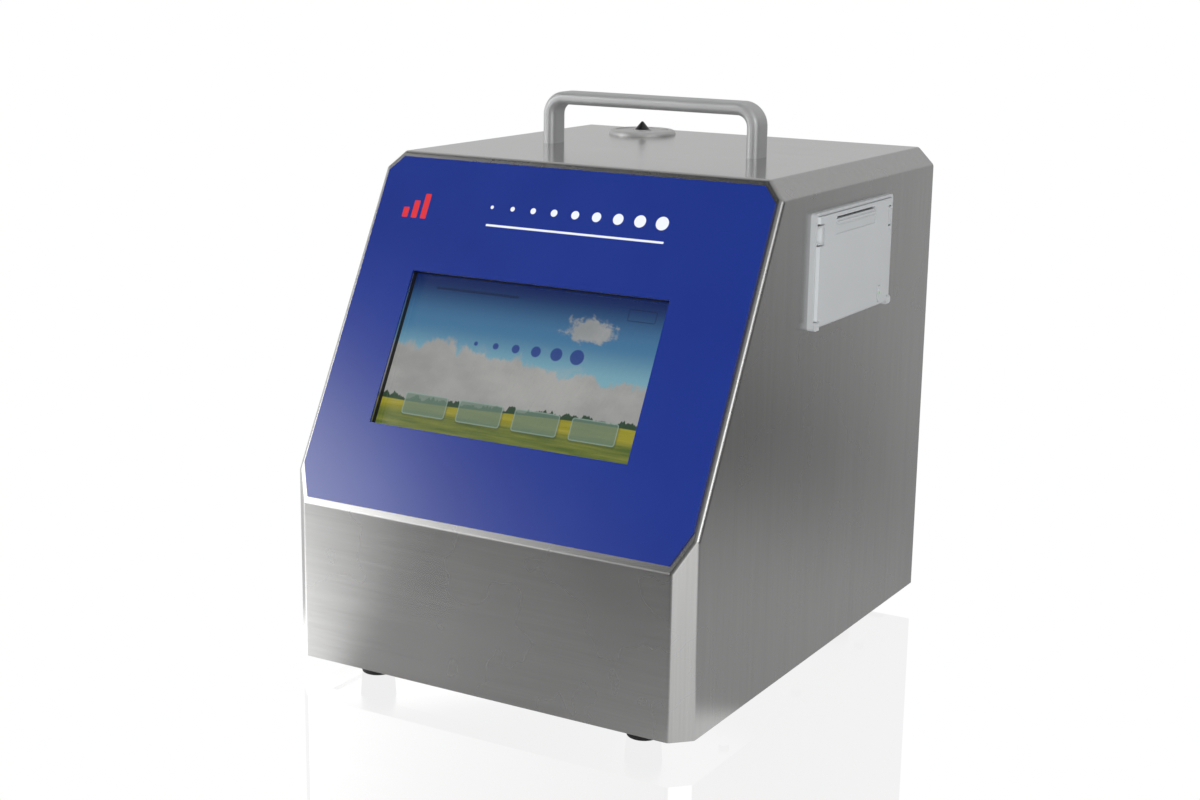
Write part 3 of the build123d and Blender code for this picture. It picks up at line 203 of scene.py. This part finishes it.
def overlay_blue():
    """A printed blue film with a fine matte texture."""
    t = Tree("overlay_blue")
    grain = t.noise(t.place(), 1800.0, 3.0, 0.6)
    cloud = t.noise(t.place(), 18.0, 2.0, 0.5)
    base = t.mix(t.ramp(cloud, 0.25, 0.75), srgb(18, 42, 124), srgb(22, 47, 130))
    flat = t.vector("SUBTRACT", t.place(), tuple(SLOPE_LOW))
    spot = t.join(t.split(flat)[0], t.vector("DOT_PRODUCT", flat, tuple(SLOPE_UP)), 0.0)
    ink = 0.0
    for number in range(9):
        size = 0.0010 + number * 0.00035
        away = t.vector("DISTANCE", spot, (-0.0460 + number * 0.0133, 0.1800, 0.0))
        ink = t.math("MAXIMUM", t.ramp(t.math("SUBTRACT", away, size), -INK_EDGE, INK_EDGE, 1.0, 0.0), ink)
    u, v, _ = t.split(spot)
    rule = t.ramp(rounded(t, u, v, 0.0085, 0.1695, 0.0555, 0.0006, 0.0005), -INK_EDGE, INK_EDGE, 1.0, 0.0)
    base = t.mix(t.math("MAXIMUM", ink, rule), base, srgb(226, 230, 238))
    bars = 0.0
    for number in range(3):
        high = 0.0030 + number * 0.0022
        bar = rounded(t, u, v, -0.1020 + number * 0.0062, 0.1695 + high, 0.0019, high, 0.0006)
        bars = t.math("MAXIMUM", t.ramp(bar, -INK_EDGE, INK_EDGE, 1.0, 0.0), bars)
    base = t.mix(bars, base, srgb(206, 44, 52))
    t.shader(Base_Color=base, IOR=1.8, Roughness=t.ramp(grain, 0.3, 0.7, 0.16, 0.20),
             Normal=t.bump(grain, 0.08, 0.00003))
    return t.material


def screen_picture():
    """The lit panel: sky, soft cloud bank and a low meadow, with four bare keys along the bottom."""
    t = Tree("screen_picture")
    flat = t.vector("SUBTRACT", t.place(), tuple(SLOPE_LOW))
    u = t.math("SUBTRACT", t.split(flat)[0], WINDOW_X)
    v = t.math("SUBTRACT", t.vector("DOT_PRODUCT", flat, tuple(SLOPE_UP)), WINDOW_LOW)
    spot = t.join(u, v, 0.0)
    height = t.math("DIVIDE", v, WINDOW_H)
    sky_low = t.mix(t.ramp(height, 0.45, 0.72, smooth=True), srgb(130, 174, 186), srgb(72, 120, 156))
    sky = t.mix(t.ramp(height, 0.70, 1.0, smooth=True), sky_low, srgb(18, 38, 92))
    stretched = t.join(t.math("MULTIPLY", u, 16.0), t.math("MULTIPLY", v, 26.0), 0.35)
    billow = t.noise(stretched, 1.0, 5.0, 0.58)
    rim = t.noise(t.join(t.math("MULTIPLY", u, 55.0), t.math("MULTIPLY", v, 30.0), 3.1), 1.0, 6.0, 0.62)
    bank_top = t.math("ADD", t.ramp(rim, 0.3, 0.7, 0.44, 0.60), t.ramp(u, -0.08, 0.08, 0.05, -0.04))
    bank = t.ramp(t.math("SUBTRACT", height, bank_top), -0.028, 0.012, 1.0, 0.0, smooth=True)
    wisp = t.math("MULTIPLY", t.ramp(billow, 0.60, 0.74, smooth=True), t.ramp(height, 0.95, 0.78, smooth=True))
    loose = t.vector("LENGTH", t.join(t.math("MULTIPLY", t.math("SUBTRACT", u, 0.036), 50.0),
                                      t.math("MULTIPLY", t.math("SUBTRACT", v, 0.0690), 105.0), 0.0))
    tuft = t.noise(t.join(t.math("MULTIPLY", u, 150.0), t.math("MULTIPLY", v, 190.0), 1.7), 1.0, 5.0, 0.62)
    puff = t.ramp(t.math("SUBTRACT", t.math("MULTIPLY", tuft, 1.5), loose), -0.10, 0.22, smooth=True)
    cloud = t.math("MAXIMUM", bank, t.math("MAXIMUM", t.math("MULTIPLY", wisp, 0.5), t.math("MULTIPLY", puff, 0.9)))
    shade = t.mix(t.ramp(billow, 0.35, 0.65), srgb(146, 146, 142), srgb(176, 173, 168))
    picture = t.mix(cloud, sky, shade)
    rise = t.math("MULTIPLY", t.math("SINE", t.math("MULTIPLY", u, 26.0)), 0.018)
    hill = t.math("ADD", rise, 0.215)
    far_field = t.ramp(t.math("SUBTRACT", height, hill), -0.008, 0.004, 1.0, 0.0, smooth=True)
    blades = t.noise(t.join(t.math("MULTIPLY", u, 30.0), t.math("MULTIPLY", v, 420.0), 0.0), 1.0, 4.0, 0.6)
    near = t.mix(t.ramp(blades, 0.35, 0.65), srgb(84, 102, 46), srgb(128, 132, 58))
    crop = t.mix(t.ramp(blades, 0.35, 0.65), srgb(146, 138, 28), srgb(170, 160, 60))
    field = t.mix(t.ramp(height, 0.10, 0.16, smooth=True), near, crop)
    hedge_top = t.noise(t.join(t.math("MULTIPLY", u, 190.0), 7.7, 0.0), 1.0, 3.0, 0.6)
    hedge_high = t.math("ADD", hill, t.ramp(hedge_top, 0.4, 0.8, 0.0, 0.06))
    hedge = t.math("MULTIPLY", t.ramp(t.math("SUBTRACT", height, hedge_high), -0.004, 0.002, 1.0, 0.0),
                   t.ramp(t.math("SUBTRACT", height, hill), -0.016, -0.010))
    picture = t.mix(far_field, picture, field)
    picture = t.mix(hedge, picture, srgb(52, 74, 52))
    for number in range(4):
        middle = -0.0535 + number * 0.0355
        gap = rounded(t, u, v, middle, 0.0152, 0.0140, 0.0062, 0.0016)
        inside = t.ramp(gap, -0.0002, 0.0002, 1.0, 0.0)
        line = t.math("MULTIPLY", inside, t.ramp(gap, -0.0008, -0.0003))
        shadow = t.ramp(rounded(t, u, v, middle + 0.0006, 0.0143, 0.0140, 0.0062, 0.0016),
                        -0.0004, 0.0010, 1.0, 0.0, smooth=True)
        picture = t.mix(t.math("MULTIPLY", shadow, 0.35), picture, srgb(40, 50, 34))
        picture = t.mix(t.math("MULTIPLY", inside, 0.62), picture, srgb(116, 140, 122))
        picture = t.mix(t.math("MULTIPLY", line, 0.45), picture, srgb(170, 190, 180))
    for number in range(6):
        size = 0.0012 + number * 0.0006
        away = t.vector("DISTANCE", spot, (-0.032 + number * 0.0128, 0.0535, 0.0))
        dot = t.ramp(t.math("SUBTRACT", away, size), -0.0002, 0.0002, 0.85, 0.0)
        picture = t.mix(dot, picture, srgb(38, 52, 130))
    status = t.ramp(rounded(t, u, v, -0.0400, 0.0822, 0.0270, 0.0007, 0.0006), -0.0002, 0.0002, 0.55, 0.0)
    picture = t.mix(status, picture, srgb(14, 20, 44))
    plate = rounded(t, u, v, 0.0640, 0.0800, 0.0085, 0.0034, 0.0010)
    edge = t.math("MULTIPLY", t.ramp(plate, -0.0002, 0.0002, 0.5, 0.0), t.ramp(plate, -0.0007, -0.0004))
    picture = t.mix(edge, picture, srgb(14, 20, 44))
    pixels = t.noise(spot, 2600.0, 1.0, 0.5)
    picture = t.vector("SCALE", picture, scale=t.ramp(pixels, 0.3, 0.7, 0.97, 1.03))
    t.shader(Base_Color=(0.01, 0.01, 0.012), Roughness=0.35, Emission_Color=picture, Emission_Strength=0.92)
    return t.material


def glass(name, tint, rough):
    """Thin clear glass: mostly see-through, with a clean reflection."""
    t = Tree(name)
    see = t.add("ShaderNodeBsdfTransparent")
    see.inputs[0].default_value = (*tint, 1)
    shine = t.add("ShaderNodeBsdfGlossy")
    shine.inputs["Roughness"].default_value = rough
    fresnel = t.add("ShaderNodeFresnel")
    fresnel.inputs["IOR"].default_value = 1.5
    both = t.add("ShaderNodeMixShader")
    t.put(fresnel.outputs[0], both.inputs[0])
    t.put(see.outputs[0], both.inputs[1])
    t.put(shine.outputs[0], both.inputs[2])
    t.put(both.outputs[0], t.output.inputs[0])
    return t.material


def lamp_green():
    """The lens of the status lamp, faintly lit."""
    t = Tree("lamp_green")
    glow = t.noise(t.place(), 900.0, 1.0, 0.5)
    colour = t.mix(t.ramp(glow, 0.3, 0.7), srgb(120, 190, 90), srgb(140, 205, 105))
    t.shader(Base_Color=colour, Roughness=0.25, Emission_Color=colour, Emission_Strength=0.25)
    return t.material


def board_green():
    """Circuit board with its tracks under the varnish."""
    t = Tree("board_green")
    track = t.noise(t.place(), 260.0, 1.0, 0.3)
    base = t.mix(t.ramp(track, 0.48, 0.52), srgb(18, 74, 44), srgb(28, 98, 58))
    t.shader(Base_Color=base, Roughness=0.42, Coat_Weight=0.3, Normal=t.bump(track, 0.2, 0.00005))
    return t.material


def filter_paper():
    """White pleated filter stock."""
    t = Tree("filter_paper")
    fibre = t.noise(t.place(), 1200.0, 4.0, 0.7)
    t.shader(Base_Color=t.mix(fibre, srgb(222, 222, 216), srgb(242, 242, 238)), Roughness=0.7,
             Normal=t.bump(fibre, 0.2, 0.0001))
    return t.material


STEEL = brushed_steel("steel_brushed", (0.60, 0.598, 0.592), 0.27)
FOLD = satin_metal("steel_bracket", (0.45, 0.45, 0.45), 0.4)
FILM = overlay_blue()
RUBBER = moulded("rubber_black", srgb(24, 24, 25), 0.62, 900.0, 0.2)
PICTURE = screen_picture()
CLEAR = glass("touch_glass_clear", (0.93, 0.95, 0.97), 0.02)
HOSE = glass("hose_clear", (0.86, 0.9, 0.9), 0.15)
ALUMINIUM = satin_metal("aluminium_satin", (0.61, 0.614, 0.618), 0.50, 3200.0, 0.02, 0.75)
BRIGHT = satin_metal("steel_polished", (0.66, 0.66, 0.655), 0.14, 900.0, 0.01)
TURNED = satin_metal("steel_turned", (0.60, 0.60, 0.595), 0.46, 1600.0, 0.015, 0.6)
SCREW = satin_metal("steel_screw", (0.5, 0.5, 0.49), 0.28)
GLOSS_BLACK = moulded("plastic_gloss_black", srgb(18, 18, 19), 0.16, 500.0, 0.03, coat=0.5)
BLACK = moulded("plastic_black", srgb(30, 30, 32), 0.5)
GREY = moulded("printer_grey", srgb(198, 201, 203), 0.46, 1600.0, 0.10, 0.015)
GREEN = lamp_green()
BOARD = board_green()
FILTER = filter_paper()
BRASS = satin_metal("pin_brass", (0.62, 0.46, 0.22), 0.25)
PAPER = moulded("paper_thermal", srgb(240, 240, 236), 0.7, 2200.0, 0.1, 0.01)

FINISH = {
    STEEL: ("housing_shell", "base_plate", "rear_panel"),
    FOLD: ("sensor_bracket", "display_bracket"),
    FILM: ("front_overlay",),
    RUBBER: ("display_gasket", "inlet_seal", "foot_front_left", "foot_front_right", "foot_rear_left",
             "foot_rear_right", "platen_roller"),
    PICTURE: ("lcd_panel",),
    CLEAR: ("touch_glass",),
    HOSE: ("inlet_tube", "exhaust_tube"),
    ALUMINIUM: ("carry_handle", "sensor_block", "laser_module", "power_supply"),
    TURNED: ("inlet_flange",),
    BRIGHT: ("door_pins", "inlet_nut", "serial_socket", "usb_socket", "fan_guard", "exhaust_spigot"),
    SCREW: ("base_screws", "panel_screws", "foot_screws", "handle_screws", "fan_screws", "display_posts",
            "display_nuts", "board_posts"),
    GLOSS_BLACK: ("inlet_plug", "mains_inlet", "fuse_drawer", "power_rocker"),
    BLACK: ("pump_housing", "pump_impeller", "pump_motor", "fan_frame", "fan_rotor", "beam_dump",
            "flow_sensor", "print_head"),
    GREY: ("printer_frame", "printer_door", "door_latch", "tear_bar", "feed_button"),
    GREEN: ("status_lens",),
    BOARD: ("display_board", "main_board", "detector_board"),
    FILTER: ("exhaust_filter",),
    BRASS: ("inlet_pins",),
    PAPER: ("paper_roll",),
}
for material, names in FINISH.items():
    for name in names:
        for slot in nodes[name].material_slots:
            slot.material = material


# ---------------------------------------------------------------- camera
AZIMUTH, ELEVATION, ROLL = math.radians(30.143), math.radians(13.320), math.radians(0.871)
TARGET = Vector((-0.01436, -0.0025, 0.14271))
DISTANCE = 1.13104
FOCAL_PIXELS, IMAGE_WIDTH = 1934.31, 1200
back = Vector((math.sin(AZIMUTH) * math.cos(ELEVATION), -math.cos(AZIMUTH) * math.cos(ELEVATION),
               math.sin(ELEVATION)))
right = (-back).cross(Vector((0, 0, 1))).normalized()
up = right.cross(-back)
camera_x = math.cos(ROLL) * right + math.sin(ROLL) * up
camera_y = -math.sin(ROLL) * right + math.cos(ROLL) * up
lens = bpy.data.cameras.new("camera")
lens.lens = FOCAL_PIXELS / IMAGE_WIDTH * lens.sensor_width
lens.clip_start = 0.05
camera = bpy.data.objects.new("camera", lens)
bpy.context.scene.collection.objects.link(camera)
camera.matrix_world = (Matrix.Translation(TARGET + DISTANCE * back)
                       @ Matrix((camera_x, camera_y, back)).transposed().to_4x4())
bpy.context.scene.camera = camera


# ---------------------------------------------------------------- stage and light
def mesh_object(name, points, faces):
    mesh = bpy.data.meshes.new(name)
    mesh.from_pydata([tuple(p) for p in points], [], faces)
    mesh.update()
    made = bpy.data.objects.new(name, mesh)
    bpy.context.scene.collection.objects.link(made)
    return made


# (bearing in degrees, tone) steps, as metal, film and glass see them. 1 is white.
WALLS = ((-180, 0.56), (-160, 0.58), (-140, 0.60), (-110, 0.80), (-60, 1.00), (-43, 0.95), (-36, 0.26), (-30, 0.06),
         (0, 0.04), (30, 0.25), (46, 1.05), (60, 1.05), (78, 0.12), (138, 0.10), (148, 0.30), (160, 0.54), (180, 0.56))
UPPER = ((-180, 0.50), (-120, 0.52), (-85, 0.30), (-58, 0.06), (-20, 0.06), (5, 0.30), (60, 0.34), (110, 0.42),
         (180, 0.50))
# NEAR is painted light and shade on the floor close to the object, as metal, film and glass mirror it: a bright pool
# to the front left, darker towards the front.
NEAR = ((-180, 0.60), (-110, 0.55), (-70, 0.60), (-53, 1.90), (-43, 2.30), (-36.5, 1.20), (-28, 0.36), (0, 0.28),
        (26, 0.32), (42, 0.74), (56, 0.74), (68, 0.36), (150, 0.385), (180, 0.58))    # the floor by the object
TONE_MOST = 2.5                           # a ramp's colours end at 1, so tones are stored as shares of this
UPPER_FROM, UPPER_FULL = 17, 34           # the heights, in degrees, between which WALLS give way to UPPER
NEAR_FULL, NEAR_END = 0.20, 0.70          # the distances, in metres, between which NEAR gives way to WALLS
# Soft boxes: bearing, height, full within, dark beyond (degrees), strength
GLOWS = ((-47, 22, 5, 12, 3.0), (-40, 12, 10, 24, 0.8), (66, 22, 8, 16, 2.0))
FLOOR_HALF, TENT_RADIUS = 30, 2.6
MIRROR_SHARE = 0.14                       # of the object's mirror image in the floor that the camera sees


def tone_ramp(t, turn, steps):
    """A grey that changes with the bearing, from (degrees, tone) steps. 0 degrees is the case's front."""
    ramp = t.add("ShaderNodeValToRGB")
    ramp.color_ramp.interpolation = "EASE"
    stops = ramp.color_ramp.elements
    while len(stops) < len(steps):
        stops.new(0.5)
    for stop, (degrees, tone) in zip(stops, steps):
        stop.position = (degrees + 180) / 360
    for stop, (degrees, tone) in zip(stops, steps):
        stop.color = (tone / TONE_MOST, tone / TONE_MOST, tone / TONE_MOST, 1)
    t.put(turn, ramp.inputs[0])
    return t.math("MULTIPLY", t.split(ramp.outputs[0])[0], TONE_MOST)


def bearing(t, place):
    """A place's bearing as 0 to 1, from -180 to 180 degrees."""
    x, y, _ = t.split(place)
    return t.ramp(t.math("ARCTAN2", x, t.math("MULTIPLY", y, -1.0)), -math.pi, math.pi)


def studio_walls(t, turn, place):
    """How bright the studio is towards a place, as metal and glass show it: soft walls and a dimmer ceiling."""
    way = t.vector("NORMALIZE", place)
    high = t.ramp(t.split(way)[2], math.sin(math.radians(UPPER_FROM)),
                  math.sin(math.radians(UPPER_FULL)), smooth=True)
    walls = t.math("MULTIPLY", tone_ramp(t, turn, WALLS), t.math("SUBTRACT", 1.0, high))
    return t.math("ADD", walls, t.math("MULTIPLY", tone_ramp(t, turn, UPPER), high))


def soft_boxes(t, place):
    """The soft boxes, as they show in metal and in the blue film."""
    way = t.vector("NORMALIZE", place)
    total = 0.0
    for turn, rise, inner, outer, strength in GLOWS:
        turn, rise = math.radians(turn), math.radians(rise)
        middle = (math.sin(turn) * math.cos(rise), -math.cos(turn) * math.cos(rise), math.sin(rise))
        near = t.vector("DOT_PRODUCT", way, middle)
        one = t.ramp(near, math.cos(math.radians(outer)), math.cos(math.radians(inner)), 0.0, strength, smooth=True)
        total = t.math("ADD", one, total)
    return total


def tent_material():
    """The studio's tones. The floor's sharp mirror, the only singular ray, sees plain white instead."""
    t = Tree("studio_tent")
    place = t.place()
    shine = t.add("ShaderNodeEmission")
    tones = t.math("ADD", studio_walls(t, bearing(t, place), place), soft_boxes(t, place))
    sharp = t.add("ShaderNodeLightPath").outputs["Is Singular Ray"]
    plain = t.math("ADD", t.math("MULTIPLY", tones, t.math("SUBTRACT", 1.0, sharp)), sharp)
    t.put(plain, shine.inputs["Strength"])
    t.put(shine.outputs[0], t.output.inputs[0])
    return t.material


def floor_material():
    """Plain white with a faint mirror image of the object. Metal and glass see the studio's tones in it, with painted
    light and shade on the floor near the object.
    """
    t = Tree("floor_white")
    colour = t.mix(t.noise(t.place(), 12.0, 2.0, 0.5), (0.90, 0.90, 0.90), (0.92, 0.92, 0.92))
    lit = t.add("ShaderNodeBsdfDiffuse")
    t.put(colour, lit.inputs["Color"])
    plain = t.add("ShaderNodeEmission")
    plain.inputs["Strength"].default_value = 1.0
    shine = t.add("ShaderNodeBsdfGlossy")
    shine.inputs["Color"].default_value = (1, 1, 1, 1)
    shine.inputs["Roughness"].default_value = 0.0
    table = t.add("ShaderNodeMixShader")
    table.inputs[0].default_value = MIRROR_SHARE
    t.put(plain.outputs[0], table.inputs[1])
    t.put(shine.outputs[0], table.inputs[2])
    path = t.add("ShaderNodeLightPath")
    both = t.add("ShaderNodeMixShader")
    t.put(path.outputs["Is Camera Ray"], both.inputs[0])
    t.put(lit.outputs[0], both.inputs[1])
    t.put(table.outputs[0], both.inputs[2])
    # what metal and glass see in the floor: painted light and shade near the object, giving way to the studio's tones
    # farther out
    mirrored = t.add("ShaderNodeEmission")
    turn = bearing(t, t.place())
    far = t.ramp(t.vector("LENGTH", t.place()), NEAR_FULL, NEAR_END, smooth=True)
    near = t.math("MULTIPLY", tone_ramp(t, turn, NEAR), t.math("SUBTRACT", 1.0, far))
    t.put(t.math("ADD", near, t.math("MULTIPLY", tone_ramp(t, turn, WALLS), far)), mirrored.inputs["Strength"])
    last = t.add("ShaderNodeMixShader")
    t.put(t.math("MAXIMUM", path.outputs["Is Glossy Ray"], path.outputs["Is Transmission Ray"]), last.inputs[0])
    t.put(both.outputs[0], last.inputs[1])
    t.put(mirrored.outputs[0], last.inputs[2])
    t.put(last.outputs[0], t.output.inputs[0])
    return t.material


floor = mesh_object("floor", [(-FLOOR_HALF, -FLOOR_HALF, 0), (FLOOR_HALF, -FLOOR_HALF, 0),
                              (FLOOR_HALF, FLOOR_HALF, 0), (-FLOOR_HALF, FLOOR_HALF, 0)], [(0, 1, 2, 3)])
floor.data.materials.append(floor_material())

shape = bmesh.new()
bmesh.ops.create_icosphere(shape, subdivisions=4, radius=TENT_RADIUS)
tent_mesh = bpy.data.meshes.new("studio_tent")
shape.to_mesh(tent_mesh)
shape.free()
tent = bpy.data.objects.new("studio_tent", tent_mesh)
bpy.context.scene.collection.objects.link(tent)
tent.data.materials.append(tent_material())
tent.visible_camera = False
tent.visible_diffuse = False
tent.visible_shadow = False


def lamp(name, place, towards, wide, high, power):
    """A soft lamp that metal doesn't mirror. Sizes in metres, power in watts."""
    data = bpy.data.lights.new(name, "AREA")
    data.shape = "RECTANGLE"
    data.size, data.size_y, data.energy = wide, high, power
    made = bpy.data.objects.new(name, data)
    bpy.context.scene.collection.objects.link(made)
    made.location = place
    made.rotation_euler = (Vector(towards) - Vector(place)).to_track_quat("-Z", "Y").to_euler()
    made.visible_camera = False
    made.visible_glossy = False
    return made


lamp("key", (-1.5, -1.3, 1.3), (0, 0, 0.12), 1.0, 1.2, 12)
lamp("front", (-0.9, -1.9, 0.45), (0, 0, 0.12), 1.4, 0.7, 10)
lamp("fill", (1.25, -1.55, 0.8), (0, 0, 0.12), 0.8, 1.0, 17.5)
lamp("top", (0.0, 0.3, 2.0), (0, 0, 0.1), 1.6, 1.6, 2)

SEEN_WHITE, FILL_LIGHT = 1.0, 0.5        # the world for camera, glossy and transmission rays, and for the rest
world = bpy.data.worlds.new("studio")
bpy.context.scene.world = world
world.use_nodes = True
tree = world.node_tree
tree.nodes.clear()
out = tree.nodes.new("ShaderNodeOutputWorld")
blend = tree.nodes.new("ShaderNodeMixShader")
for slot, strength in ((2, SEEN_WHITE), (1, FILL_LIGHT)):
    sky = tree.nodes.new("ShaderNodeBackground")
    sky.inputs[0].default_value = (1, 1, 1, 1)
    sky.inputs[1].default_value = strength
    tree.links.new(sky.outputs[0], blend.inputs[slot])
path = tree.nodes.new("ShaderNodeLightPath")
share = path.outputs["Is Camera Ray"]
for ray in ("Is Glossy Ray", "Is Transmission Ray"):
    either = tree.nodes.new("ShaderNodeMath")
    either.operation = "MAXIMUM"
    tree.links.new(share, either.inputs[0])
    tree.links.new(path.outputs[ray], either.inputs[1])
    share = either.outputs[0]
tree.links.new(share, blend.inputs[0])
tree.links.new(blend.outputs[0], out.inputs[0])

bpy.context.scene.view_settings.view_transform = "Standard"
